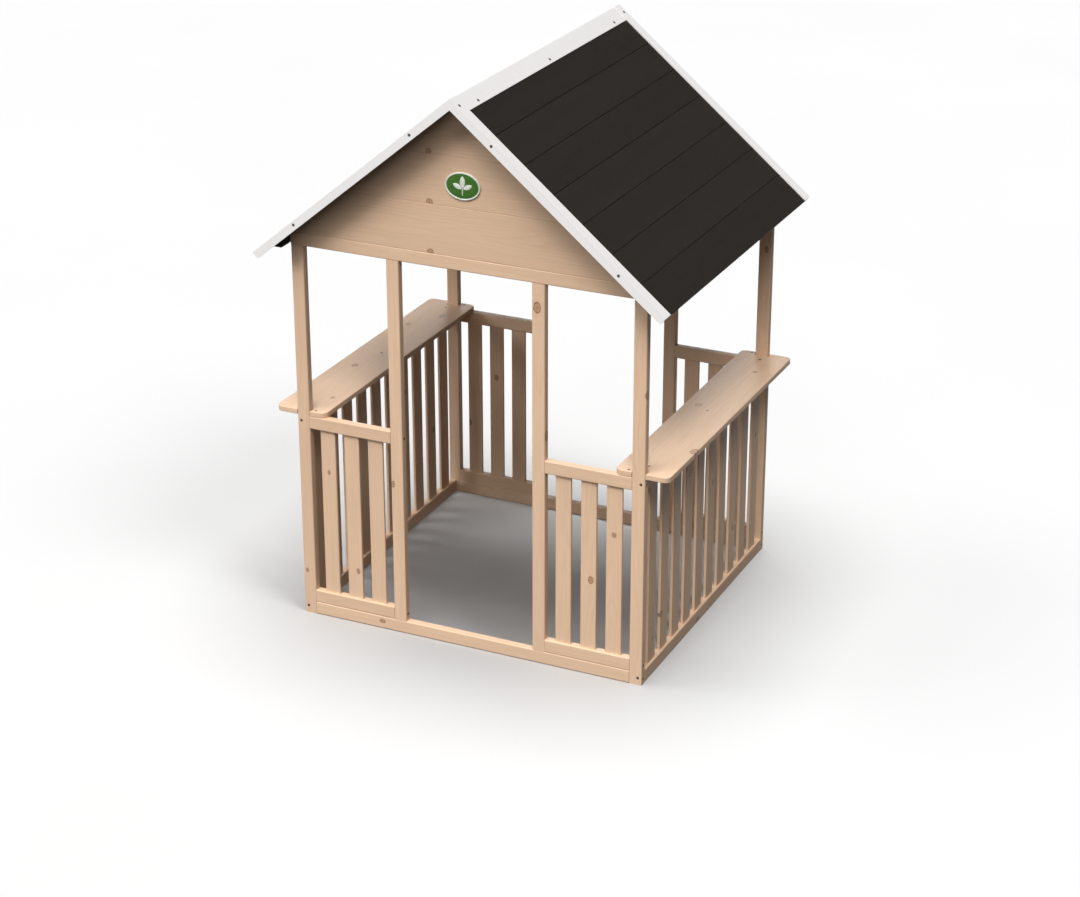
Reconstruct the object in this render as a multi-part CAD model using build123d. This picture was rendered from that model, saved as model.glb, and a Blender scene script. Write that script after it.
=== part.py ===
from build123d import *
import os
from math import cos, radians, sin, tan

# An open timber playhouse: four corner posts, half-height slatted walls with a doorway at each end,
# counter shelves over both side walls, boarded gables and a boarded pitched roof with white edge trims.
# Millimetres. +X is the right-hand side seen from the front, +Y is the back, +Z is up.
# The origin is on the ground at the centre of the frame.

# ---- Driving dimensions ----

# Frame, measured over the outer faces of the corner posts
house_width = 1000.0
house_depth = 900.0
post_height = 1064.0

# Planed timber shared by posts, sills and rails
stock_width = 36.0
stock_thickness = 22.0
stock_edge_radius = 3.0

# Half-height walls and doorways
door_clear_width = 374.0
wall_height = 587.0

# Slats and the blind pockets in the rails that hold their ends
slat_thickness = 8.0
slat_edge_radius = 2.0
panel_slat_width = 44.0
panel_slat_count = 3
side_slat_width = 49.5
side_slat_count = 10
slat_tuck = 8.0
pocket_side_clearance = 0.25
pocket_end_clearance = 1.0

# Counter shelves
shelf_thickness = 15.0
shelf_inner_overhang = 47.5
shelf_outer_overhang = 65.0
shelf_corner_radius = 18.0
shelf_edge_radius = 2.0
shelf_notch_clearance = 1.2

# Roof: slope of the boards, and the height of the gable's plumb end above the posts
roof_angle = 39.65
gable_heel = 30.8
roof_end_overhang = 65.0
roof_eave_overhang = 72.1
roof_board_thickness = 12.0
roof_board_cover = 101.4
ridge_strip_least_width = 25.0
board_gap = 0.4
roof_board_chamfer = 1.6
tongue_length = 5.0
tongue_thickness = 4.0
tongue_clearance = 0.3

# Gable boards
gable_board_thickness = 14.0
gable_board_cover = 130.7
gable_board_chamfer = 1.0
gable_board_names = ["lower", "middle", "upper"]

# Battens under the roof boards
batten_width = 36.0
batten_thickness = 15.0
batten_foot_setback = 5.0
batten_housing_clearance = 0.5

# White edge trims
verge_thickness = 3.0
verge_flange_width = 34.0
verge_face_drop = 18.5
verge_corner_radius = 5.5
cap_thickness = 2.0
cap_half_width = 46.6
cap_end_clearance = 0.5

# Plaque on the front gable
plaque_width = 97.0
plaque_height = 72.0
plaque_thickness = 4.0
plaque_rim_width = 4.0
plaque_rim_height = 1.2
plaque_centre_height = 1289.0

# Countersunk wood screws and plain nails
screw_shank_radius = 2.0
screw_head_radius = 4.1
screw_head_height = 2.6
screw_tip_length = 5.0
screw_clearance = 0.05
recess_span = 4.6
recess_slot = 1.1
recess_depth = 1.6
frame_screw_length = 60.0
sill_screw_length = 45.0
sill_screw_sink = 0.6
shelf_screw_length = 25.0
verge_screw_length = 30.0
flange_screw_length = 13.0
cap_screw_length = 24.0
nail_radius = 1.0
nail_head_radius = 2.4
nail_head_height = 1.0
nail_length = 22.0

# Screw positions
crossing_stagger = 5.0
gable_screw_inset = 9.0
shelf_screw_post_gap = 13.5
shelf_screw_end_inset = 52.0
verge_screw_ridge_inset = 150.0
verge_screw_eave_inset = 154.0
flange_screw_offset = 24.0
flange_screw_inset = 14.0
cap_screw_offset = 35.5

# ---- Derived places ----

half_width = house_width / 2
half_depth = house_depth / 2
half_door = door_clear_width / 2
post_inner_x = half_width - stock_width
door_post_outer_x = half_door + stock_width
wall_inner_y = half_depth - stock_thickness
wall_mid_y = half_depth - stock_thickness / 2
side_inner_x = half_width - stock_thickness
side_mid_x = half_width - stock_thickness / 2

sill_top = stock_width
panel_bottom_rail_top = sill_top + stock_width
top_rail_bottom = wall_height - stock_width
sill_mid = stock_width / 2
panel_bottom_rail_mid = sill_top + stock_width / 2
top_rail_mid = wall_height - stock_width / 2

slope = radians(roof_angle)
gable_rail_top = post_height + stock_width
ridge_height = post_height + gable_heel + roof_board_thickness / cos(slope) + half_width * tan(slope)
roof_half_length = half_depth + roof_end_overhang
slope_length = (half_width + roof_eave_overhang) / cos(slope)
# Whole boards are laid up from the eave, and the ridge strip is ripped to what is left
roof_board_count = int((slope_length - ridge_strip_least_width) // roof_board_cover)
ridge_strip_width = slope_length - roof_board_count * roof_board_cover
board_bottom = -roof_board_thickness
batten_bottom = board_bottom - batten_thickness
batten_inner_y = half_depth - gable_board_thickness - batten_width
verge_outer_y = roof_half_length + verge_thickness
verge_inner_y = verge_outer_y - verge_flange_width

left_right = {"left": -1, "right": 1}
front_back = {"front": -1, "back": 1}


# ---- Shape helpers ----

def ordered(first, second, sign=1):
    """The span between two distances, on the side given by the sign."""
    return sorted((sign * first, sign * second))


def block(x_span, y_span, z_span):
    """A square-edged block between three spans."""
    spans = (x_span, y_span, z_span)
    sizes = [high - low for low, high in spans]
    centre = [(high + low) / 2 for low, high in spans]
    return Pos(*centre) * Box(*sizes)


def timber(x_span, y_span, z_span, grain, radius=stock_edge_radius):
    """A straight-cut length of timber with the edges along its grain eased."""
    body = block(x_span, y_span, z_span)
    return fillet(body.edges().filter_by(grain), radius).solid()


def slope_point(distance, lift, side=1):
    """A point on a roof slope: distance down from the ridge line, lift out from the boards' top."""
    across = distance * cos(slope) + lift * sin(slope)
    height = ridge_height - distance * sin(slope) + lift * cos(slope)
    return (side * across, height)


def plumb_distance(lift):
    """Distance down the slope at which a line with this lift meets the ridge's upright plane."""
    return -lift * tan(slope)


def level_distance(distance, lift_from, lift_to):
    """Distance at another lift that is level with a point on the slope."""
    return distance - (lift_from - lift_to) / tan(slope)


def prism_along_depth(outline, y_span):
    """An outline of (x, z) points pushed along the depth of the house."""
    low, high = y_span
    wire = Polyline([(x, low, z) for x, z in outline], close=True)
    return extrude(make_face(wire), amount=high - low, dir=(0, 1, 0)).solid()


def slope_prism(outline, y_span, side):
    """An outline of (distance, lift) points on one slope, pushed along the depth."""
    return prism_along_depth([slope_point(d, lift, side) for d, lift in outline], y_span)


def matched_outline(low, high, face, back, chamfer, has_tongue, has_groove):
    """Outline of a tongued and grooved board as (along, through) points.

    along runs from the tongue edge (low) to the groove edge (high); through runs from back to face.
    """
    middle = (face + back) / 2
    half_tongue = tongue_thickness / 2
    half_groove = half_tongue + tongue_clearance
    groove_length = tongue_length + tongue_clearance
    start = [(low, back)]
    if has_tongue:
        start = [
            (low, back),
            (low, middle - half_tongue),
            (low - tongue_length, middle - half_tongue),
            (low - tongue_length, middle + half_tongue),
            (low, middle + half_tongue),
        ]
    top = [
        (low, face - chamfer),
        (low + chamfer, face),
        (high - chamfer, face),
        (high, face - chamfer),
    ]
    finish = [(high, back)]
    if has_groove:
        finish = [
            (high, middle + half_groove),
            (high - groove_length, middle + half_groove),
            (high - groove_length, middle - half_groove),
            (high, middle - half_groove),
            (high, back),
        ]
    return start + top + finish


# ---- Slatted walls ----

def slat_starts(low, high, width, count):
    """Low edges of slats spread over a span with equal gaps between them and at both ends."""
    gap = (high - low - count * width) / (count + 1)
    return [low + gap + i * (width + gap) for i in range(count)]


def slat_blocks(run_axis, run_span, width, count, through_span, z_span):
    """Plain blocks, one for each slat of a wall that runs along X or Y."""
    blocks = []
    for start in slat_starts(*run_span, width, count):
        run = (start, start + width)
        spans = (run, through_span) if run_axis == "x" else (through_span, run)
        blocks.append(block(*spans, z_span))
    return blocks


def slatted_wall(run_axis, run_span, width, count, outer, inner, low_rail, high_rail):
    """Slats, bottom rail and top rail of one wall, with the rails pocketed for the slats.

    outer and inner are the rails' faces; low_rail and high_rail are the rails' height spans.
    """
    middle = (outer + inner) / 2
    through = (middle - slat_thickness / 2, middle + slat_thickness / 2)
    slat_heights = (low_rail[1] - slat_tuck, high_rail[0] + slat_tuck)
    slats = []
    for plain in slat_blocks(run_axis, run_span, width, count, through, slat_heights):
        slats.append(fillet(plain.edges().filter_by(Axis.Z), slat_edge_radius).solid())

    side_room = pocket_side_clearance
    pocket_width = width + 2 * side_room
    pocket_through = (through[0] - side_room, through[1] + side_room)
    pocket_heights = (slat_heights[0] - pocket_end_clearance, slat_heights[1] + pocket_end_clearance)
    pockets = []
    for start in slat_starts(*run_span, width, count):
        run = (start - side_room, start - side_room + pocket_width)
        spans = (run, pocket_through) if run_axis == "x" else (pocket_through, run)
        pockets.append(block(*spans, pocket_heights))

    rails = []
    faces = ordered(outer, inner)
    grain = Axis.X if run_axis == "x" else Axis.Y
    for heights in (low_rail, high_rail):
        spans = (run_span, faces) if run_axis == "x" else (faces, run_span)
        rails.append((timber(*spans, heights, grain) - pockets).solid())
    return slats, rails[0], rails[1]


# ---- Sub-parts ----

def corner_post(side, end):
    return timber(
        ordered(post_inner_x, half_width, side),
        ordered(wall_inner_y, half_depth, end),
        (0, post_height),
        Axis.Z,
    )


def door_post(side, end):
    return timber(
        ordered(half_door, door_post_outer_x, side),
        ordered(wall_inner_y, half_depth, end),
        (sill_top, post_height),
        Axis.Z,
    )


def sill(end):
    return timber(
        (-post_inner_x, post_inner_x),
        ordered(wall_inner_y, half_depth, end),
        (0, sill_top),
        Axis.X,
    )


def end_panel(side, end):
    """The short slatted panel between a door post and a corner post."""
    return slatted_wall(
        "x",
        ordered(door_post_outer_x, post_inner_x, side),
        panel_slat_width,
        panel_slat_count,
        end * half_depth,
        end * wall_inner_y,
        (sill_top, panel_bottom_rail_top),
        (top_rail_bottom, wall_height),
    )


def side_wall(side):
    """The slatted wall between the front and back corner posts."""
    return slatted_wall(
        "y",
        (-wall_inner_y, wall_inner_y),
        side_slat_width,
        side_slat_count,
        side * half_width,
        side * side_inner_x,
        (0, sill_top),
        (top_rail_bottom, wall_height),
    )


def shelf(side):
    """A counter board with rounded corners, notched at both ends around the corner posts."""
    inner_x = post_inner_x - shelf_inner_overhang
    outer_x = half_width + shelf_outer_overhang
    plank = block(
        ordered(inner_x, outer_x, side),
        (-half_depth, half_depth),
        (wall_height, wall_height + shelf_thickness),
    )
    plank = fillet(plank.edges().filter_by(Axis.Z), shelf_corner_radius)
    for end in front_back.values():
        notch_x = ordered(post_inner_x - shelf_notch_clearance, half_width + shelf_notch_clearance, side)
        notch_y = ordered(wall_inner_y - shelf_notch_clearance, house_depth, end)
        plank -= block(notch_x, notch_y, (0, post_height))
    faces = plank.faces().sort_by(Axis.Z)
    return fillet(faces[0].edges() + faces[-1].edges(), shelf_edge_radius).solid()


def gable_outline():
    """Outline of a gable from the post tops up to the underside of the roof boards."""
    eave = post_height + gable_heel
    apex = ridge_height - roof_board_thickness / cos(slope)
    return [
        (-half_width, post_height),
        (half_width, post_height),
        (half_width, eave),
        (0, apex),
        (-half_width, eave),
    ]


def gable_rail(end):
    """The rail on the post tops, its ends cut to the slope and housed for the battens."""
    depth_span = ordered(wall_inner_y, half_depth, end)
    rail = timber((-half_width, half_width), depth_span, (post_height, gable_rail_top), Axis.X)
    rail = rail & prism_along_depth(gable_outline(), depth_span)
    housing_y = ordered(0, half_depth - gable_board_thickness + batten_housing_clearance, end)
    deep = batten_bottom - batten_housing_clearance
    for side in left_right.values():
        outline = [(0, 0), (0, deep), (slope_length, deep), (slope_length, 0)]
        rail -= slope_prism(outline, housing_y, side)
    return rail.solid()


def gable_board(end, number):
    """One horizontal gable board, tongued to the board above it and cut to the slopes."""
    low = gable_rail_top + number * gable_board_cover
    is_lowest = number == 0
    is_highest = number == len(gable_board_names) - 1
    high = ridge_height if is_highest else low + gable_board_cover - board_gap
    face = end * half_depth
    back = end * (half_depth - gable_board_thickness)
    # The section is written from the tongue edge, which is the board's top, down to the groove edge
    section = matched_outline(
        -high, -low, 0, -gable_board_thickness, gable_board_chamfer, not is_highest, not is_lowest
    )
    outline = [(0, face + end * through, -along) for along, through in section]
    profile = make_face(Polyline(outline, close=True))
    board = extrude(profile, amount=half_width, dir=(1, 0, 0), both=True)
    return (board & prism_along_depth(gable_outline(), ordered(face, back))).solid()


def roof_boards(side):
    """The boards of one slope, from the plumb-cut ridge strip down to the eave."""
    depth_span = (-roof_half_length, roof_half_length)
    strip = matched_outline(
        0, ridge_strip_width - board_gap, 0, board_bottom, roof_board_chamfer, False, True
    )
    # The strip's upper edge is plumb instead of square
    plumb = [(plumb_distance(board_bottom), board_bottom), (0, 0)]
    boards = [slope_prism(plumb + strip[2:], depth_span, side)]
    for number in range(roof_board_count):
        low = ridge_strip_width + number * roof_board_cover
        is_eave = number == roof_board_count - 1
        high = low + roof_board_cover - (0 if is_eave else board_gap)
        outline = matched_outline(low, high, 0, board_bottom, roof_board_chamfer, True, not is_eave)
        boards.append(slope_prism(outline, depth_span, side))
    return boards


def batten_span(position):
    """Depth span of a batten: against the front gable, in the middle or against the back gable."""
    if position == "middle":
        return (-batten_width / 2, batten_width / 2)
    return ordered(batten_inner_y, batten_inner_y + batten_width, front_back[position])


def batten(side, position):
    """A batten under one slope, plumb cut at the ridge and level cut at the foot."""
    foot = slope_length - batten_foot_setback
    outline = [
        (plumb_distance(board_bottom), board_bottom),
        (foot, board_bottom),
        (level_distance(foot, board_bottom, batten_bottom), batten_bottom),
        (plumb_distance(batten_bottom), batten_bottom),
    ]
    return slope_prism(outline, batten_span(position), side)


def verge_trim(side, end):
    """An angle trim over the board ends of one slope, mitred to its partner at the ridge."""
    top = verge_thickness
    flange = slope_prism(
        [(plumb_distance(top), top), (slope_length, top), (slope_length, 0), (0, 0)],
        ordered(verge_inner_y, verge_outer_y, end),
        side,
    )
    low = -verge_face_drop
    face = slope_prism(
        [(plumb_distance(top), top), (slope_length, top), (slope_length, low), (plumb_distance(low), low)],
        ordered(roof_half_length, verge_outer_y, end),
        side,
    )
    foot_x, foot_z = slope_point(slope_length, low, side)
    across = face.edges().filter_by(Axis.Y)
    foot_corner = across.sort_by_distance((foot_x, end * verge_outer_y, foot_z))[0]
    return (flange + fillet(foot_corner, verge_corner_radius)).solid()


def ridge_cap():
    """A folded strip over the ridge, between the flanges of the verge trims."""
    outline = [
        slope_point(cap_half_width, 0, -1),
        slope_point(cap_half_width, cap_thickness, -1),
        slope_point(plumb_distance(cap_thickness), cap_thickness),
        slope_point(cap_half_width, cap_thickness),
        slope_point(cap_half_width, 0),
        slope_point(0, 0),
    ]
    reach = verge_inner_y - cap_end_clearance
    return prism_along_depth(outline, (-reach, reach))


def plaque():
    """A plain oval plate with a raised rim, standing on the front gable."""
    plane = Plane(origin=(0, -half_depth, plaque_centre_height), x_dir=(1, 0, 0), z_dir=(0, -1, 0))
    plate = extrude(plane * Ellipse(plaque_width / 2, plaque_height / 2), plaque_thickness)
    field = Ellipse(plaque_width / 2 - plaque_rim_width, plaque_height / 2 - plaque_rim_width)
    raised = plane.offset(plaque_thickness - plaque_rim_height)
    return (plate - extrude(raised * field, plaque_rim_height)).solid()


# ---- Screws and nails ----

def fastener_blank(shank_radius, head_radius, head_height, tip_length, length):
    """A countersunk fastener along Z, head flush with Z = 0 and the tip below."""
    hang = (Align.CENTER, Align.CENTER, Align.MAX)
    head = Cone(shank_radius, head_radius, head_height, align=hang)
    shank = Cylinder(shank_radius, length - tip_length, align=hang)
    tip = Pos(0, 0, tip_length - length) * Cone(shank_radius / 5, shank_radius, tip_length, align=hang)
    return (head + shank + tip).solid()


def screw_shape(length):
    """A countersunk screw with a cross recess."""
    blank = fastener_blank(screw_shank_radius, screw_head_radius, screw_head_height, screw_tip_length, length)
    slot = Box(recess_span, recess_slot, 2 * recess_depth)
    cross = slot + Rot(0, 0, 90) * slot
    return (blank - cross).solid()


def screw_hole(length):
    """The countersunk hole that a screw fills."""
    room = screw_clearance
    return fastener_blank(
        screw_shank_radius + room,
        screw_head_radius + room,
        screw_head_height + room,
        screw_tip_length,
        length + room,
    )


def nail_shape():
    return fastener_blank(nail_radius, nail_head_radius, nail_head_height, 2 * nail_radius, nail_length)


def site(point, outward):
    """The place of a fastener: its head's centre and the way the head faces."""
    return Plane(origin=point, z_dir=outward).location


def frame_screw_sites():
    """Screws through the posts into the ends of the sills and rails."""
    sites = []
    for side in left_right.values():
        for end in front_back.values():
            for height in (sill_mid, top_rail_mid):
                high = height + crossing_stagger / 2
                low = height - crossing_stagger / 2
                sites.append(site((side * side_mid_x, end * half_depth, high), (0, end, 0)))
                sites.append(site((side * half_width, end * wall_mid_y, low), (side, 0, 0)))
            rail_point = (side * half_width, end * wall_mid_y, panel_bottom_rail_mid)
            sites.append(site(rail_point, (side, 0, 0)))
            for height in (panel_bottom_rail_mid, top_rail_mid):
                sites.append(site((side * half_door, end * wall_mid_y, height), (-side, 0, 0)))
    return sites


def sill_screw_sites():
    """Screws up through the sills into the feet of the door posts."""
    across = half_door + stock_width / 2
    sites = []
    for side in left_right.values():
        for end in front_back.values():
            sites.append(site((side * across, end * wall_mid_y, sill_screw_sink), (0, 0, -1)))
    return sites


def gable_screw_sites():
    """Screws down through the gable rails into the tops of all posts."""
    sites = []
    for side in left_right.values():
        for end in front_back.values():
            for across in (half_door + stock_width / 2, half_width - stock_width / 2):
                depth = half_depth - gable_screw_inset
                sites.append(site((side * across, end * depth, gable_rail_top), (0, 0, 1)))
    return sites


def shelf_screw_sites():
    """Screws down through the shelves into the top rails."""
    top = wall_height + shelf_thickness
    sites = []
    for side in left_right.values():
        sites.append(site((side * side_mid_x, 0, top), (0, 0, 1)))
        for end in front_back.values():
            rail_x = side * (post_inner_x - shelf_screw_post_gap)
            sites.append(site((rail_x, end * wall_mid_y, top), (0, 0, 1)))
            near_end_y = end * (half_depth - shelf_screw_end_inset)
            sites.append(site((side * side_mid_x, near_end_y, top), (0, 0, 1)))
    return sites


def slope_site(distance, lift, depth, side):
    """A fastener standing square on one slope."""
    x, z = slope_point(distance, lift, side)
    return site((x, depth, z), (side * sin(slope), 0, cos(slope)))


def verge_screw_sites():
    """Screws through the faces of the verge trims into the board ends."""
    sites = []
    for side in left_right.values():
        for end in front_back.values():
            for distance in (verge_screw_ridge_inset, slope_length - verge_screw_eave_inset):
                x, z = slope_point(distance, board_bottom / 2, side)
                sites.append(site((x, end * verge_outer_y, z), (0, end, 0)))
    return sites


def flange_screw_sites():
    """Short screws down through the flanges of the verge trims, near the ridge."""
    depth = verge_outer_y - flange_screw_inset
    sites = []
    for side in left_right.values():
        for end in front_back.values():
            sites.append(slope_site(flange_screw_offset, verge_thickness, end * depth, side))
    return sites


def batten_middles():
    return [sum(batten_span(position)) / 2 for position in ("front", "middle", "back")]


def cap_screw_sites():
    """Screws down through the ridge cap and boards into each batten."""
    sites = []
    for side in left_right.values():
        for depth in batten_middles():
            sites.append(slope_site(cap_screw_offset, cap_thickness, depth, side))
    return sites


def nail_sites():
    """Nails up through the battens, one into the middle of each whole roof board."""
    sites = []
    for side in left_right.values():
        for depth in batten_middles():
            for number in range(roof_board_count):
                distance = ridge_strip_width + (number + 0.5) * roof_board_cover
                x, z = slope_point(distance, batten_bottom, side)
                sites.append(site((x, depth, z), (-side * sin(slope), 0, -cos(slope))))
    return sites


screw_groups = {
    "frame_screws": [(frame_screw_sites(), frame_screw_length)],
    "sill_screws": [(sill_screw_sites(), sill_screw_length)],
    "gable_screws": [(gable_screw_sites(), frame_screw_length)],
    "shelf_screws": [(shelf_screw_sites(), shelf_screw_length)],
    "verge_screws": [
        (verge_screw_sites(), verge_screw_length),
        (flange_screw_sites(), flange_screw_length),
    ],
    "ridge_cap_screws": [(cap_screw_sites(), cap_screw_length)],
}


def drilled(piece, holes):
    """The piece with each fastener hole that reaches it cut out."""
    reach = piece.bounding_box()
    touching = [hole for hole in holes if reach.overlaps(hole.bounding_box())]
    if not touching:
        return piece
    return (piece - touching).solid()


# ---- Assembly ----

pieces = {}
for end_name, end in front_back.items():
    pieces[f"{end_name}_sill"] = [sill(end)]
    pieces[f"{end_name}_gable_rail"] = [gable_rail(end)]
    for number, board_name in enumerate(gable_board_names):
        pieces[f"{end_name}_gable_board_{board_name}"] = [gable_board(end, number)]
    for side_name, side in left_right.items():
        corner = f"{end_name}_{side_name}"
        slats, bottom_rail, top_rail = end_panel(side, end)
        pieces[f"corner_post_{corner}"] = [corner_post(side, end)]
        pieces[f"door_post_{corner}"] = [door_post(side, end)]
        pieces[f"panel_bottom_rail_{corner}"] = [bottom_rail]
        pieces[f"panel_top_rail_{corner}"] = [top_rail]
        pieces[f"panel_slats_{corner}"] = slats
        pieces[f"verge_trim_{corner}"] = [verge_trim(side, end)]

for side_name, side in left_right.items():
    slats, bottom_rail, top_rail = side_wall(side)
    pieces[f"side_bottom_rail_{side_name}"] = [bottom_rail]
    pieces[f"side_top_rail_{side_name}"] = [top_rail]
    pieces[f"side_slats_{side_name}"] = slats
    pieces[f"shelf_{side_name}"] = [shelf(side)]
    pieces[f"roof_boards_{side_name}"] = roof_boards(side)
    for position in ("front", "middle", "back"):
        pieces[f"roof_batten_{side_name}_{position}"] = [batten(side, position)]

pieces["ridge_cap"] = [ridge_cap()]
pieces["plaque"] = [plaque()]

holes = []
fasteners = {}
for name, batches in screw_groups.items():
    fasteners[name] = []
    for places, length in batches:
        screw = screw_shape(length)
        hole = screw_hole(length)
        fasteners[name] += [place * screw for place in places]
        holes += [place * hole for place in places]

nail = nail_shape()
fasteners["roof_nails"] = [place * nail for place in nail_sites()]
holes += fasteners["roof_nails"]

os.makedirs("parts", exist_ok=True)
for name, solids in pieces.items():
    export_step(Compound([drilled(solid, holes) for solid in solids]), f"parts/{name}.step")
for name, solids in fasteners.items():
    export_step(Compound(solids), f"parts/{name}.step")
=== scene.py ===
import random
from math import cos, pi, radians, sin, tau

import bmesh
import bpy
from mathutils import Matrix, Vector


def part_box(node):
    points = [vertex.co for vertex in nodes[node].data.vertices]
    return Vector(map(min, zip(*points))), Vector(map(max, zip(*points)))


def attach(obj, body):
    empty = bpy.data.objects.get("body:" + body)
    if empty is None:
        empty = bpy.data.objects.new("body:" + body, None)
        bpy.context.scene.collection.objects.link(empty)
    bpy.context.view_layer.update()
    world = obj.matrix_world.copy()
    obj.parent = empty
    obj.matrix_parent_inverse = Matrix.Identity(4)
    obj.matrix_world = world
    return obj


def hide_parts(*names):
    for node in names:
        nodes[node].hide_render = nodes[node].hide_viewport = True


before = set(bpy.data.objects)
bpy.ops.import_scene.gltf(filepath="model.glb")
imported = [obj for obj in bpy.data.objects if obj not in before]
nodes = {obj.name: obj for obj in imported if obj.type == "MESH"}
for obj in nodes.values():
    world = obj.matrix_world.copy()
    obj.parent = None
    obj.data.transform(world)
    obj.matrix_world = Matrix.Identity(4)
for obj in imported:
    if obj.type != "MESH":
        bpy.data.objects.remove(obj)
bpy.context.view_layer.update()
scene = bpy.context.scene

MM = 0.001


# ---- Shader building ----

class Graph:
    """A material's node tree, with short calls for the nodes that the finishes share."""

    def __init__(self, name):
        self.material = bpy.data.materials.new(name)
        self.material.use_nodes = True
        self.tree = self.material.node_tree
        self.tree.nodes.clear()
        output = self.node("ShaderNodeOutputMaterial")
        self.shader = self.node("ShaderNodeBsdfPrincipled")
        self.tree.links.new(self.shader.outputs["BSDF"], output.inputs["Surface"])
        self.place = self.node("ShaderNodeTexCoord").outputs["Object"]

    def node(self, kind, **settings):
        made = self.tree.nodes.new(kind)
        for name, value in settings.items():
            setattr(made, name, value)
        return made

    def put(self, value, socket):
        """Links a socket or sets a plain value."""
        if isinstance(value, bpy.types.NodeSocket):
            self.tree.links.new(value, socket)
        elif value is not None:
            socket.default_value = value

    def set(self, name, value):
        self.put(value, self.shader.inputs[name])

    def stretched(self, vector, stretch, **settings):
        """Noise drawn out along the axes where stretch is small."""
        return self.noise(self.vector("MULTIPLY", vector, stretch), **settings)

    def math(self, operation, *values):
        made = self.node("ShaderNodeMath", operation=operation)
        for value, socket in zip(values, made.inputs):
            self.put(value, socket)
        return made.outputs[0]

    def vector(self, operation, *values):
        made = self.node("ShaderNodeVectorMath", operation=operation)
        for value, socket in zip(values, made.inputs):
            self.put(value, socket)
        is_number = operation in ("LENGTH", "DISTANCE", "DOT_PRODUCT")
        return made.outputs["Value" if is_number else "Vector"]

    def join(self, x, y, z):
        made = self.node("ShaderNodeCombineXYZ")
        for value, socket in zip((x, y, z), made.inputs):
            self.put(value, socket)
        return made.outputs[0]

    def split(self, vector):
        made = self.node("ShaderNodeSeparateXYZ")
        self.put(vector, made.inputs[0])
        return made.outputs

    def noise(self, vector, scale=1.0, detail=2.0, roughness=0.5):
        made = self.node("ShaderNodeTexNoise")
        self.put(vector, made.inputs["Vector"])
        made.inputs["Scale"].default_value = scale
        made.inputs["Detail"].default_value = detail
        made.inputs["Roughness"].default_value = roughness
        return made.outputs["Fac"]

    def random(self, number):
        """A random number from 0 to 1 for each whole number."""
        made = self.node("ShaderNodeTexWhiteNoise", noise_dimensions="1D")
        self.put(number, made.inputs["W"])
        return made.outputs["Value"]

    def ramp(self, value, low, high, to_low=0.0, to_high=1.0, smooth=True):
        made = self.node("ShaderNodeMapRange", interpolation_type="SMOOTHSTEP" if smooth else "LINEAR")
        for item, socket in zip((value, low, high, to_low, to_high), made.inputs):
            self.put(item, socket)
        return made.outputs["Result"]

    def mix(self, factor, first, second):
        made = self.node("ShaderNodeMix", data_type="RGBA")
        colours = [socket for socket in made.inputs if socket.type == "RGBA"]
        self.put(factor, made.inputs[0])
        self.put(first, colours[0])
        self.put(second, colours[1])
        return next(socket for socket in made.outputs if socket.type == "RGBA")

    def scale_colour(self, colour, factor):
        """A colour made lighter or darker by a number that varies over the surface."""
        return self.vector("MULTIPLY", colour, self.join(factor, factor, factor))

    def bump(self, height, strength, distance):
        made = self.node("ShaderNodeBump")
        made.inputs["Strength"].default_value = strength
        made.inputs["Distance"].default_value = distance
        self.put(height, made.inputs["Height"])
        self.put(made.outputs["Normal"], self.shader.inputs["Normal"])


def rgb(red, green, blue):
    return (red, green, blue, 1.0)


# ---- Timber ----

EARLY_WOOD = rgb(0.735, 0.510, 0.345)
LATE_WOOD = rgb(0.600, 0.385, 0.238)
PINK_WOOD = rgb(0.735, 0.478, 0.332)
KNOT_CORE = rgb(0.400, 0.215, 0.110)
KNOT_RING = rgb(0.150, 0.072, 0.036)
AXES = {"x": 0, "y": 1, "z": 2}

# Growth rings: their spacing, how far they bend, and where the pith line lies from the middle of the piece
RING_PITCH = 5.2 * MM
RING_BEND = 46 * MM
RING_TILT = 0.012
KNOT_SWIRL = 9 * MM
PITH_ACROSS = 60 * MM
PITH_DEPTH = (22, 46)

# Noise per metre across, through and along the grain
SLOW_BEND = (9, 9, 1.6)
BROAD_STAIN = (42, 42, 1.3)
STREAKS = (190, 190, 4.5)
FIBRES = (1300, 1300, 26)
PATCHES = (11, 11, 3.0)
RESIN_CANALS = (900, 900, 55)
KNOT_WOBBLE = (160, 160, 160)

# How far the log is shifted from one slat or stave to the next, and how far the first lies from the origin
LOG_JUMP = 3.7
LOG_RANGE = 40
NO_KNOT = 9.0
KNOT_RINGS = 15.0


def node_frame(name, grain, through):
    """A node's box, with its axes told apart: along the grain, through the thickness and across."""
    low, high = (Vector(corner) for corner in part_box(name))
    along = AXES[grain]
    deep = AXES[through]
    across = 3 - along - deep
    return low, high, across, deep, along


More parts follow.
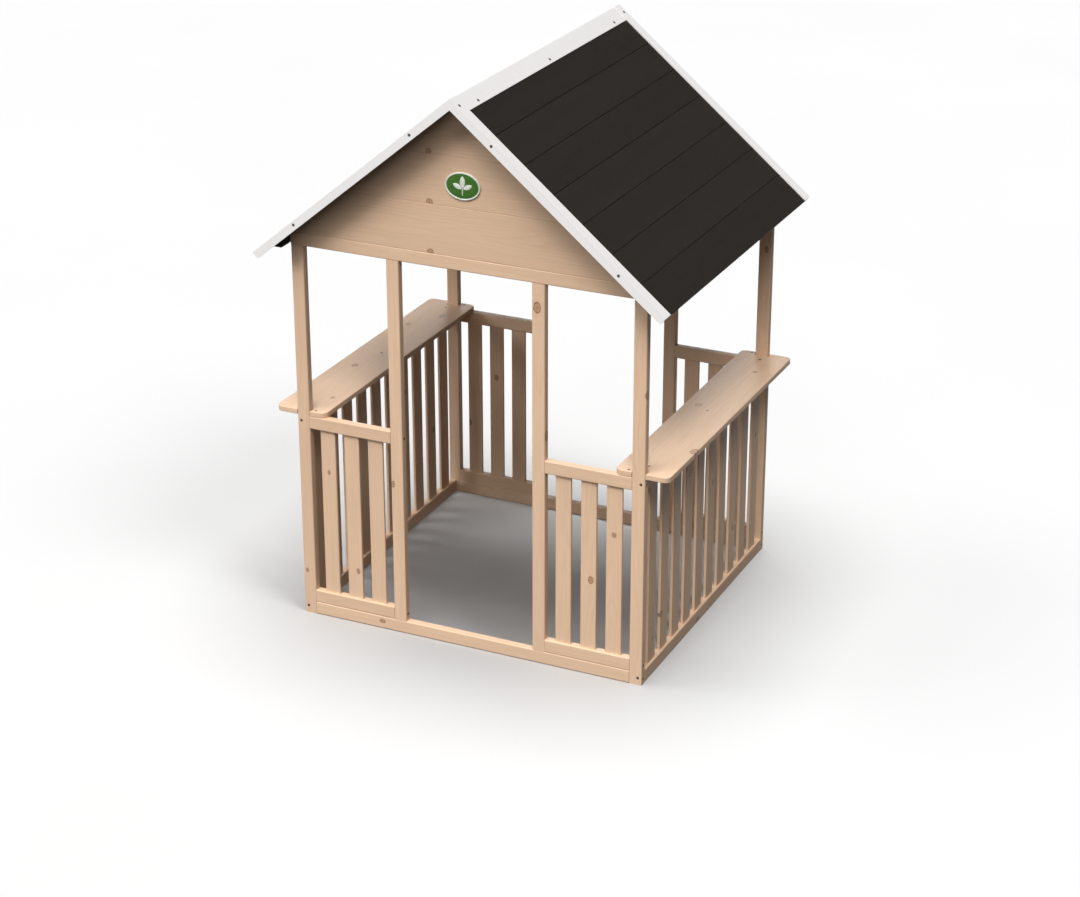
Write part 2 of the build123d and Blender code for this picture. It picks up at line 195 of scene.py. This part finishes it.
def timber(name, grain, through, knots=(), pitch=None, tone=1.0, staves=None):
    """Stained softwood cut from its own part of a log.

    grain and through name the axes along the grain and through the thickness. knots are
    (share across, share along, half width, half length) of the node's box, with sizes in millimetres. A
    knot in a corner of the piece adds (share of the depth, half depth).
    pitch is the spacing of the separate slats in a group. staves is the width of glued strips in a board.
    """
    graph = Graph("timber_" + name)
    chance = random.Random(name)
    low, high, across_axis, deep_axis, along_axis = node_frame(name, grain, through)
    middle = (low + high) / 2

    parts = graph.split(graph.place)
    across = graph.math("SUBTRACT", parts[across_axis], middle[across_axis])
    deep = graph.math("SUBTRACT", parts[deep_axis], middle[deep_axis])
    along = graph.math("SUBTRACT", parts[along_axis], middle[along_axis])

    # Each slat or stave is its own piece of wood
    step = pitch or staves
    if step:
        start = low[across_axis] - middle[across_axis]
        count = graph.math("DIVIDE", graph.math("SUBTRACT", across, start), step)
        index = graph.math("FLOOR", count)
        local = graph.math("MULTIPLY", graph.math("SUBTRACT", graph.math("FRACT", count), 0.5), step)
        piece_tone = graph.random(graph.math("ADD", index, chance.uniform(3, 90)))
        piece_shift = graph.random(graph.math("ADD", index, chance.uniform(100, 900)))
    else:
        local = across
        index = 0.0
        piece_tone = chance.random()
        piece_shift = chance.random()

    seed = [chance.uniform(-LOG_RANGE, LOG_RANGE) for _ in range(3)]
    jump = graph.math("MULTIPLY", index, LOG_JUMP)
    grain_place = graph.vector("ADD", graph.join(local, deep, graph.math("ADD", along, jump)), seed)

    # Distance to the nearest knot, in knot radii
    nearest = NO_KNOT
    for share_across, share_along, half_width, half_length, *in_depth in knots:
        size = high - low
        centre_across = (share_across - 0.5) * size[across_axis]
        centre_along = (share_along - 0.5) * size[along_axis]
        dx = graph.math("DIVIDE", graph.math("SUBTRACT", across, centre_across), half_width * MM)
        dz = graph.math("DIVIDE", graph.math("SUBTRACT", along, centre_along), half_length * MM)
        dy = 0.0
        if in_depth:
            centre_deep = (in_depth[0] - 0.5) * size[deep_axis]
            dy = graph.math("DIVIDE", graph.math("SUBTRACT", deep, centre_deep), in_depth[1] * MM)
        distance = graph.vector("LENGTH", graph.join(dx, dy, dz))
        nearest = graph.math("MINIMUM", nearest, distance)
    if knots:
        wobble = graph.stretched(grain_place, KNOT_WOBBLE, detail=2)
        wobble = graph.math("MULTIPLY", graph.math("SUBTRACT", wobble, 0.5), 0.5)
        nearest = graph.math("ADD", nearest, wobble)

    # Growth rings: cones round a pith line outside the piece, bent round the knots
    pith_across = graph.math("MULTIPLY", graph.math("SUBTRACT", piece_shift, 0.5), PITH_ACROSS)
    pith_deep = chance.choice((-1, 1)) * chance.uniform(*PITH_DEPTH) * MM
    slow = graph.stretched(grain_place, SLOW_BEND, detail=3, roughness=0.55)
    from_pith = (graph.math("SUBTRACT", local, pith_across), graph.math("SUBTRACT", deep, pith_deep))
    radius = graph.vector("LENGTH", graph.join(*from_pith, 0.0))
    radius = graph.math("ADD", radius, graph.math("MULTIPLY", slow, RING_BEND))
    radius = graph.math("ADD", radius, graph.math("MULTIPLY", along, chance.uniform(-RING_TILT, RING_TILT)))
    if knots:
        radius = graph.math("ADD", radius, graph.ramp(nearest, 0.6, 3.2, KNOT_SWIRL, 0.0))
    phase = graph.math("FRACT", graph.math("DIVIDE", radius, RING_PITCH))
    late = graph.math("MULTIPLY", graph.ramp(phase, 0.25, 0.86), graph.ramp(phase, 0.99, 0.88))

    # Streaks along the grain, from broad stain to single fibres
    broad = graph.stretched(grain_place, BROAD_STAIN, detail=3)
    streak = graph.stretched(grain_place, STREAKS, detail=3, roughness=0.6)
    fibre = graph.stretched(grain_place, FIBRES, detail=2)
    patch = graph.stretched(grain_place, PATCHES, detail=2)

    ring_strength = graph.ramp(broad, 0.30, 0.72, 0.05, 0.34)
    colour = graph.mix(graph.math("MULTIPLY", late, ring_strength), EARLY_WOOD, LATE_WOOD)
    shade = graph.ramp(streak, 0.25, 0.75, 1.025, 0.955)
    shade = graph.math("MULTIPLY", shade, graph.ramp(fibre, 0.2, 0.8, 1.02, 0.975))
    shade = graph.math("MULTIPLY", shade, graph.ramp(patch, 0.25, 0.75, 0.965, 1.03))
    own_tone = graph.ramp(piece_tone, 0.0, 1.0, 0.95 * tone, 1.03 * tone, smooth=False)
    shade = graph.math("MULTIPLY", shade, own_tone)
    colour = graph.scale_colour(colour, shade)
    colour = graph.mix(graph.ramp(broad, 0.45, 0.75, 0.0, 0.30), colour, PINK_WOOD)

    # Short dark resin canals
    canals = graph.ramp(graph.stretched(grain_place, RESIN_CANALS, detail=1), 0.70, 0.80, 0.0, 0.22)
    colour = graph.mix(canals, colour, LATE_WOOD)

    height = graph.math("ADD", graph.math("MULTIPLY", late, -0.35), graph.math("MULTIPLY", fibre, 0.5))
    rough = graph.ramp(streak, 0.3, 0.7, 0.50, 0.62)
    if knots:
        rings = graph.math("SINE", graph.math("MULTIPLY", nearest, KNOT_RINGS))
        core = graph.mix(graph.ramp(rings, -1.0, 1.0, 0.0, 0.14), KNOT_CORE, KNOT_RING)
        core = graph.mix(graph.ramp(nearest, 0.15, 0.70, 0.0, 0.30), core, EARLY_WOOD)
        stain = graph.ramp(nearest, 1.0, 2.1, 0.30, 0.0)
        colour = graph.mix(stain, colour, LATE_WOOD)
        colour = graph.mix(graph.ramp(nearest, 0.98, 0.86), colour, core)
        from_edge = graph.math("ABSOLUTE", graph.math("SUBTRACT", nearest, 0.96))
        colour = graph.mix(graph.ramp(from_edge, 0.0, 0.26, 0.85, 0.0), colour, KNOT_RING)
        rough = graph.math("SUBTRACT", rough, graph.ramp(nearest, 1.2, 0.8, 0.0, 0.12))
        height = graph.math("ADD", height, graph.ramp(nearest, 1.1, 0.8, 0.0, 0.8))

    graph.set("Base Color", colour)
    graph.set("Roughness", rough)
    graph.shader.inputs["Specular IOR Level"].default_value = 0.35
    graph.bump(height, 0.25, 0.25 * MM)
    return graph.material


# ---- Paint, enamel and metal ----

ROOF_SLOPE = radians(39.65)
RIDGE_STRIP = 33.2 * MM
ROOF_BOARD_PITCH = 101.4 * MM
STAIN_DARK = rgb(0.0225, 0.0190, 0.0158)
STAIN_LIGHT = rgb(0.0242, 0.0205, 0.0172)
STAIN_FINE = 420.0
STAIN_ALONG = 7.0
STAIN_BROAD = (26.0, 2.0, 26.0)
BOARD_JUMP = 2.3


def board_paint(name, pitch=None):
    """Matt near-black stain that leaves the grain just readable. pitch is the spacing down a slope."""
    graph = Graph("paint_" + name)
    chance = random.Random(name)
    high = Vector(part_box(name)[1])
    index = 0.0
    stretch = (STAIN_FINE, STAIN_FINE, STAIN_FINE)
    if pitch:
        side = 1.0 if high.x > 0.1 else -1.0
        down = (side * cos(ROOF_SLOPE), 0.0, -sin(ROOF_SLOPE))
        from_ridge = graph.vector("SUBTRACT", graph.place, (0.0, 0.0, high.z))
        distance = graph.math("SUBTRACT", graph.vector("DOT_PRODUCT", from_ridge, down), RIDGE_STRIP)
        index = graph.math("FLOOR", graph.math("DIVIDE", distance, pitch))
        stretch = (STAIN_FINE, STAIN_ALONG, STAIN_FINE)
    jump = graph.join(0.0, graph.math("MULTIPLY", index, BOARD_JUMP), 0.0)
    shifted = graph.vector("ADD", graph.place, jump)
    streak = graph.stretched(shifted, stretch, detail=3, roughness=0.6)
    broad = graph.stretched(shifted, STAIN_BROAD, detail=3)
    speck = graph.noise(graph.place, scale=900.0, detail=2)
    tone = graph.random(graph.math("ADD", index, chance.uniform(2, 60)))
    colour = graph.mix(graph.ramp(broad, 0.3, 0.7), STAIN_DARK, STAIN_LIGHT)
    shade = graph.ramp(streak, 0.3, 0.7, 0.94, 1.06)
    shade = graph.math("MULTIPLY", shade, graph.ramp(tone, 0.0, 1.0, 0.96, 1.04))
    graph.set("Base Color", graph.scale_colour(colour, shade))
    graph.set("Roughness", graph.ramp(streak, 0.3, 0.7, 0.66, 0.80))
    graph.shader.inputs["Specular IOR Level"].default_value = 0.12
    graph.bump(graph.math("ADD", streak, graph.math("MULTIPLY", speck, 0.3)), 0.15, 0.2 * MM)
    return graph.material


def powder_coat(name, light, dark, roughness):
    """Satin powder coat: fine orange peel, and a little dirt that gathers in soft patches."""
    graph = Graph(name)
    peel = graph.noise(graph.place, scale=620.0, detail=2)
    patch = graph.noise(graph.place, scale=7.0, detail=4, roughness=0.6)
    smear = graph.stretched(graph.place, (30, 9, 30), detail=3)
    dirt = graph.math("MULTIPLY", graph.ramp(patch, 0.45, 0.8), graph.ramp(smear, 0.4, 0.7, 0.2, 1.0))
    graph.set("Base Color", graph.mix(dirt, light, dark))
    graph.set("Roughness", graph.ramp(patch, 0.3, 0.7, roughness - 0.05, roughness + 0.07))
    graph.bump(peel, 0.10, 0.15 * MM)
    return graph.material


def enamel(name, light, dark, roughness=0.32):
    """Enamel with slight pooling."""
    graph = Graph(name)
    pool = graph.noise(graph.place, scale=55.0, detail=3)
    grit = graph.noise(graph.place, scale=900.0, detail=1)
    graph.set("Base Color", graph.mix(graph.ramp(pool, 0.3, 0.7), light, dark))
    graph.set("Roughness", graph.ramp(pool, 0.3, 0.7, roughness - 0.06, roughness + 0.08))
    graph.shader.inputs["Specular IOR Level"].default_value = 0.3
    graph.bump(graph.math("ADD", pool, graph.math("MULTIPLY", grit, 0.2)), 0.12, 0.2 * MM)
    return graph.material


def metal(name, light, dark, roughness):
    """Plated or phosphated steel with uneven tarnish and fine scratches."""
    graph = Graph(name)
    tarnish = graph.noise(graph.place, scale=420.0, detail=4, roughness=0.65)
    scratch = graph.stretched(graph.place, (4000, 500, 4000), detail=1)
    graph.set("Base Color", graph.mix(graph.ramp(tarnish, 0.35, 0.65), light, dark))
    graph.set("Roughness", graph.ramp(tarnish, 0.3, 0.7, roughness - 0.08, roughness + 0.12))
    graph.shader.inputs["Metallic"].default_value = 0.85
    graph.bump(scratch, 0.15, 0.05 * MM)
    return graph.material


def dress(name, material):
    """Gives a CAD node its finish."""
    mesh = nodes[name].data
    for slot in range(max(1, len(mesh.materials))):
        if slot < len(mesh.materials):
            mesh.materials[slot] = material
        else:
            mesh.materials.append(material)


# ---- Finishes on the CAD nodes ----

KNOTS = {
    "front_gable_board_lower": [(0.02, 0.405, 8.5, 8)],
    "front_gable_board_middle": [(0.035, 0.36, 8.5, 8)],
    "front_gable_board_upper": [(0.035, 0.235, 8.0, 7)],
    "door_post_front_right": [(0.41, 0.938, 9.5, 14), (0.96, 0.60, 6, 13, 0.5, 8)],
    "door_post_front_left": [(0.16, 0.39, 4.5, 9)],
    "corner_post_front_right": [(0.98, 0.765, 5, 11, 0.32, 7)],
    "corner_post_front_left": [(0.30, 0.12, 4, 6)],
    "corner_post_back_right": [(0.62, 0.86, 5, 9), (0.3, 0.30, 4, 7)],
    "corner_post_back_left": [(0.4, 0.78, 6, 10)],
    "door_post_back_left": [(0.5, 0.70, 6, 11)],
    "door_post_back_right": [(0.55, 0.28, 6, 9)],
    "panel_slats_front_right": [(0.54, 0.42, 7.0, 9.5), (0.88, 0.706, 6.0, 6.5)],
    "panel_slats_front_left": [(0.12, 0.74, 4.0, 6), (0.55, 0.18, 5, 7)],
    "panel_slats_back_left": [(0.02, 0.34, 5, 9), (0.5, 0.66, 6, 8)],
    "panel_slats_back_right": [(0.45, 0.31, 6, 8), (0.95, 0.72, 5, 7)],
    "side_slats_right": [
        (0.112, 0.211, 6.5, 9), (0.975, 0.674, 5, 7), (0.56, 0.652, 4, 8), (0.04, 0.13, 4, 5),
        (0.34, 0.83, 5, 7), (0.77, 0.26, 6, 8),
    ],
    "side_slats_left": [(0.12, 0.60, 6, 9), (0.45, 0.30, 6, 8), (0.66, 0.77, 5, 7), (0.88, 0.42, 5, 8)],
    "shelf_right": [(0.257, 0.526, 8, 10), (0.955, 0.205, 9, 15), (0.62, 0.84, 5, 6)],
    "shelf_left": [(0.68, 0.867, 9, 13), (0.265, 0.755, 6, 8), (0.36, 0.375, 8, 10), (0.75, 0.12, 5, 7)],
    "back_gable_board_lower": [(0.36, 0.55, 8, 7), (0.71, 0.30, 6, 6)],
    "back_gable_board_middle": [(0.64, 0.45, 8, 8)],
    "side_top_rail_left": [(0.4, 0.61, 5, 9)],
    "side_bottom_rail_right": [(0.3, 0.43, 5, 9)],
    "front_sill": [(0.6, 0.22, 5, 8)],
    "back_sill": [(0.45, 0.68, 5, 8)],
}


PANEL_SLATS = 3
PANEL_SLAT_WIDTH = 44 * MM
SIDE_SLATS = 10
SIDE_SLAT_WIDTH = 49.5 * MM
GABLE_TONE = 0.97

white_coat = powder_coat("white_coat", rgb(0.840, 0.822, 0.808), rgb(0.780, 0.758, 0.740), 0.42)
dark_screw = metal("dark_screw", rgb(0.20, 0.145, 0.105), rgb(0.09, 0.06, 0.045), 0.45)
zinc_screw = metal("zinc_screw", rgb(0.17, 0.16, 0.15), rgb(0.09, 0.085, 0.08), 0.48)


def group_pitch(name, axis, count, piece_width):
    """Spacing of the slats in a group, from the group's own box."""
    low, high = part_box(name)
    return (high[axis] - low[axis] - piece_width) / (count - 1)


def finish_for(name):
    if name.startswith("verge_trim") or name in ("ridge_cap", "plaque"):
        return white_coat
    if name in ("verge_screws", "ridge_cap_screws"):
        return zinc_screw
    if name.endswith(("screws", "nails")):
        return dark_screw
    if name.startswith("roof_boards"):
        return board_paint(name, pitch=ROOF_BOARD_PITCH)
    if name.startswith("roof_batten"):
        return board_paint(name)
    knots = KNOTS.get(name, ())
    if name.startswith(("corner_post", "door_post")):
        return timber(name, "z", "y", knots)
    if name.startswith("panel") and "rail" in name or "sill" in name or "gable_rail" in name:
        return timber(name, "x", "y", knots)
    if "gable_board" in name:
        return timber(name, "x", "y", knots, tone=GABLE_TONE)
    if name.startswith(("side_bottom_rail", "side_top_rail")):
        return timber(name, "y", "x", knots)
    if name.startswith("panel_slats"):
        return timber(name, "z", "y", knots, pitch=group_pitch(name, 0, PANEL_SLATS, PANEL_SLAT_WIDTH))
    if name.startswith("side_slats"):
        return timber(name, "z", "x", knots, pitch=group_pitch(name, 1, SIDE_SLATS, SIDE_SLAT_WIDTH))
    if name.startswith("shelf"):
        # A shelf is glued from two staves
        low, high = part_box(name)
        return timber(name, "y", "z", knots, staves=(high[0] - low[0]) / 2)
    raise ValueError("no finish for " + name)


for node_name in sorted(nodes):
    dress(node_name, finish_for(node_name))


# ---- Plaque: a plain oval plate with a pale rim and a raised sprig ----

def new_piece(name, builder, material):
    """An object from a bmesh builder, with its finish, riding on the one rigid body."""
    mesh = bpy.data.meshes.new(name)
    work = bmesh.new()
    builder(work)
    bmesh.ops.recalc_face_normals(work, faces=work.faces)
    work.to_mesh(mesh)
    work.free()
    mesh.materials.append(material)
    made = bpy.data.objects.new(name, mesh)
    scene.collection.objects.link(made)
    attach(made, "root")
    return made


plaque_low, plaque_high = (Vector(corner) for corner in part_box("plaque"))
plaque_centre = (plaque_low + plaque_high) / 2
plaque_half_width = (plaque_high.x - plaque_low.x) / 2
plaque_half_height = (plaque_high.z - plaque_low.z) / 2
plaque_back = plaque_high.y
plaque_thickness = plaque_high.y - plaque_low.y


def plaque_point(across, up, out):
    """A point on the plaque, measured from its centre and out from the gable."""
    return Vector((plaque_centre.x + across, plaque_back - out, plaque_centre.z + up))


RIM_WIDTH = 4.2 * MM
RIM_EDGE = 1.2 * MM
RIM_SOFT = 0.4 * MM
FIELD_INSET = 4.3 * MM
FIELD_EDGE = 4.7 * MM
FIELD_SOFT = 0.3 * MM
FIELD_CROWN = 0.4 * MM
SPRIG_SINK = 0.9 * MM
STEM_HEIGHT = 1.1 * MM
OVAL_STEPS = 96
LEAF_STEPS = 28
LEAF_PLUMPNESS = 0.48

# Each leaf: (centre across, centre up), its lean and its length
LEAVES = [
    ((0.0, 11 * MM), radians(90), 30 * MM),
    ((-14 * MM, -1 * MM), radians(155), 26 * MM),
    ((14 * MM, -1 * MM), radians(25), 26 * MM),
]
# From a leaf's outline to its midrib: (share of its size, height)
LEAF_LAYERS = [(1.0, 0.0), (0.94, 0.9 * MM), (0.6, 1.3 * MM), (0.2, 1.5 * MM)]
STEM_OUTLINE = [(-1.1 * MM, -24 * MM), (1.1 * MM, -24 * MM), (1.6 * MM, -4 * MM), (-1.6 * MM, -4 * MM)]


def join_rings(work, inner, outer):
    """A strip of faces between two rings with the same number of points."""
    for step in range(len(inner)):
        after = (step + 1) % len(inner)
        work.faces.new((inner[step], inner[after], outer[after], outer[step]))


def oval_ring(work, half_width, half_height, out):
    ring = []
    for step in range(OVAL_STEPS):
        angle = tau * step / OVAL_STEPS
        ring.append(work.verts.new(plaque_point(half_width * cos(angle), half_height * sin(angle), out)))
    return ring


def lathe_oval(work, profile):
    """Rings of an oval, each (inset, out), joined in order."""
    rings = []
    for inset, out in profile:
        rings.append(oval_ring(work, plaque_half_width - inset, plaque_half_height - inset, out))
    for inner, outer in zip(rings, rings[1:]):
        join_rings(work, inner, outer)
    return rings


def plaque_rim(work):
    top = plaque_thickness
    profile = [(0.0, 0.0), (0.0, top - RIM_EDGE), (RIM_SOFT, top - RIM_SOFT), (RIM_EDGE, top)]
    profile += [(RIM_WIDTH - inset, out) for inset, out in reversed(profile)]
    rings = lathe_oval(work, profile)
    join_rings(work, rings[-1], rings[0])


def plaque_field(work):
    """The plate inside the rim, with a shallow crown."""
    top = plaque_thickness - RIM_EDGE
    rings = lathe_oval(work, [(FIELD_INSET, 0.0), (FIELD_INSET, top - FIELD_SOFT), (FIELD_EDGE, top)])
    work.faces.new(rings[0])
    last = rings[-1]
    for share in (0.75, 0.5, 0.25):
        half_width = (plaque_half_width - FIELD_EDGE) * share
        half_height = (plaque_half_height - FIELD_EDGE) * share
        ring = oval_ring(work, half_width, half_height, top + FIELD_CROWN * (1 - share * share))
        join_rings(work, last, ring)
        last = ring
    work.faces.new(last)


def leaf_ring(work, centre, lean, length, out):
    """One outline of a pointed leaf. centre is (across, up) on the plaque."""
    ring = []
    for step in range(LEAF_STEPS):
        turn = tau * step / LEAF_STEPS
        along = length / 2 * cos(turn)
        side = length * LEAF_PLUMPNESS / 2 * sin(turn) * abs(sin(turn)) ** 0.35
        x = centre[0] + along * cos(lean) - side * sin(lean)
        z = centre[1] + along * sin(lean) + side * cos(lean)
        ring.append(work.verts.new(plaque_point(x, z, out)))
    return ring


def plaque_sprig(work):
    """Three leaves on a short stem, raised from the field."""
    base = plaque_thickness - SPRIG_SINK
    for centre, lean, length in LEAVES:
        rings = [leaf_ring(work, centre, lean, length * share, base + lift) for share, lift in LEAF_LAYERS]
        for inner, outer in zip(rings, rings[1:]):
            join_rings(work, inner, outer)
        work.faces.new(rings[0])
        work.faces.new(rings[-1])
    low = [work.verts.new(plaque_point(x, z, base)) for x, z in STEM_OUTLINE]
    top = [work.verts.new(plaque_point(x * 0.7, z, base + STEM_HEIGHT)) for x, z in STEM_OUTLINE]
    work.faces.new(low)
    work.faces.new(top)
    join_rings(work, low, top)


pale_enamel = enamel("plaque_pale", rgb(0.74, 0.76, 0.68), rgb(0.66, 0.69, 0.60))
green_enamel = enamel("plaque_green", rgb(0.042, 0.140, 0.012), rgb(0.032, 0.112, 0.009), 0.42)
plaque_pieces = (
    ("plaque_rim", plaque_rim, pale_enamel),
    ("plaque_field", plaque_field, green_enamel),
    ("plaque_sprig", plaque_sprig, pale_enamel),
)
for piece_name, builder, finish in plaque_pieces:
    piece = new_piece(piece_name, builder, finish)
    for face in piece.data.polygons:
        face.use_smooth = True
    piece.data.set_sharp_from_angle(angle=radians(40))
    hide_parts("plaque")


# ---- Floor, light and camera ----

FLOOR_TONE = 0.60
FLOOR_HALF = 40.0
WHITE = rgb(1.0, 1.0, 1.0)
FILL = 0.024


def flat_floor():
    mesh = bpy.data.meshes.new("floor")
    corners = [(x * FLOOR_HALF, y * FLOOR_HALF, 0) for x, y in ((-1, -1), (1, -1), (1, 1), (-1, 1))]
    mesh.from_pydata(corners, [], [(0, 1, 2, 3)])
    floor = bpy.data.objects.new("floor", mesh)
    scene.collection.objects.link(floor)
    graph = Graph("floor_paint")
    cloud = graph.noise(graph.place, scale=0.7, detail=3)
    tones = [rgb(tone, tone, tone) for tone in (FLOOR_TONE, FLOOR_TONE + 0.01)]
    graph.set("Base Color", graph.mix(graph.ramp(cloud, 0.3, 0.7), *tones))
    graph.set("Roughness", graph.ramp(cloud, 0.3, 0.7, 0.82, 0.88))
    graph.shader.inputs["Specular IOR Level"].default_value = 0.1
    mesh.materials.append(graph.material)
    return floor


def soft_sun(name, turn, height, share, spread, receivers):
    """A soft directional lamp. share is what it adds to the floor's brightness, 1 being plain white.

    turn is its bearing from the front towards the right, height its elevation and spread its angular size.
    """
    light = bpy.data.lights.new(name, "SUN")
    light.energy = pi * share / (FLOOR_TONE * sin(radians(height)))
    light.angle = radians(spread)
    made = bpy.data.objects.new(name, light)
    level = cos(radians(height))
    towards = Vector((level * sin(radians(turn)), -level * cos(radians(turn)), sin(radians(height))))
    made.rotation_euler = towards.to_track_quat("Z", "Y").to_euler()
    made.light_linking.receiver_collection = receivers
    scene.collection.objects.link(made)


def floor_link(name, state):
    """What a lamp lights: only the floor (INCLUDE), or everything but the floor (EXCLUDE)."""
    receivers = bpy.data.collections.new(name)
    receivers.objects.link(floor)
    receivers.collection_objects[0].light_linking.link_state = state
    return receivers


floor = flat_floor()
# The floor throws no light back up, which keeps the sheltered sides of the object dark
floor.visible_diffuse = False
floor_alone = floor_link("floor_alone", "INCLUDE")
all_but_floor = floor_link("all_but_floor", "EXCLUDE")

# The floor's shadow comes from a broad overhead light and weaker ones round it
soft_sun("floor_overhead", 180, 88, 0.71, 40, floor_alone)
soft_sun("floor_right", 72, 48, 0.17, 26, floor_alone)
soft_sun("floor_left", -75, 50, 0.07, 24, floor_alone)
soft_sun("floor_front", 0, 48, 0.03, 24, floor_alone)

# The object is lit from high in front, with a lower light from the left and one behind
soft_sun("front_high", 0, 66, 0.26, 40, all_but_floor)
soft_sun("right_high", 30, 66, 0.20, 40, all_but_floor)
soft_sun("right_middle", 27, 52, 0.15, 22, all_but_floor)
soft_sun("left_middle", -25, 52, 0.105, 22, all_but_floor)
soft_sun("front_low", 10, 24, 0.03, 24, all_but_floor)
soft_sun("left_low", -50, 24, 0.08, 22, all_but_floor)
soft_sun("behind", -158, 12, 0.03, 22, all_but_floor)

# A faint even fill on the object, and a plain white surround behind the floor
world = bpy.data.worlds.new("studio")
world.use_nodes = True
tree = world.node_tree
fill = tree.nodes["Background"]
fill.inputs["Color"].default_value = WHITE
fill.inputs["Strength"].default_value = FILL
surround = tree.nodes.new("ShaderNodeBackground")
surround.inputs["Color"].default_value = WHITE
blend = tree.nodes.new("ShaderNodeMixShader")
tree.links.new(tree.nodes.new("ShaderNodeLightPath").outputs["Is Camera Ray"], blend.inputs[0])
tree.links.new(fill.outputs[0], blend.inputs[1])
tree.links.new(surround.outputs[0], blend.inputs[2])
tree.links.new(blend.outputs[0], tree.nodes["World Output"].inputs["Surface"])
scene.world = world
scene.view_settings.view_transform = "Standard"

CAMERA_PLACE = Vector((2.7284, -5.8574, 3.2522))
CAMERA_TURN = radians(24.93)
CAMERA_DIP = radians(23.26)
LENS = 85.45
SENSOR = 36.0
SHIFT = (-0.0017, -0.0230)

camera_data = bpy.data.cameras.new("camera")
camera_data.lens = LENS
camera_data.sensor_width = SENSOR
camera_data.sensor_fit = "HORIZONTAL"
camera_data.shift_x, camera_data.shift_y = SHIFT
camera = bpy.data.objects.new("camera", camera_data)
right = Vector((cos(CAMERA_TURN), sin(CAMERA_TURN), 0.0))
back = Vector((sin(CAMERA_TURN) * cos(CAMERA_DIP), -cos(CAMERA_TURN) * cos(CAMERA_DIP), sin(CAMERA_DIP)))
up = back.cross(right)
turn = Matrix((right, up, back)).transposed().to_4x4()
camera.matrix_world = Matrix.Translation(CAMERA_PLACE) @ turn
scene.collection.objects.link(camera)
scene.camera = camera
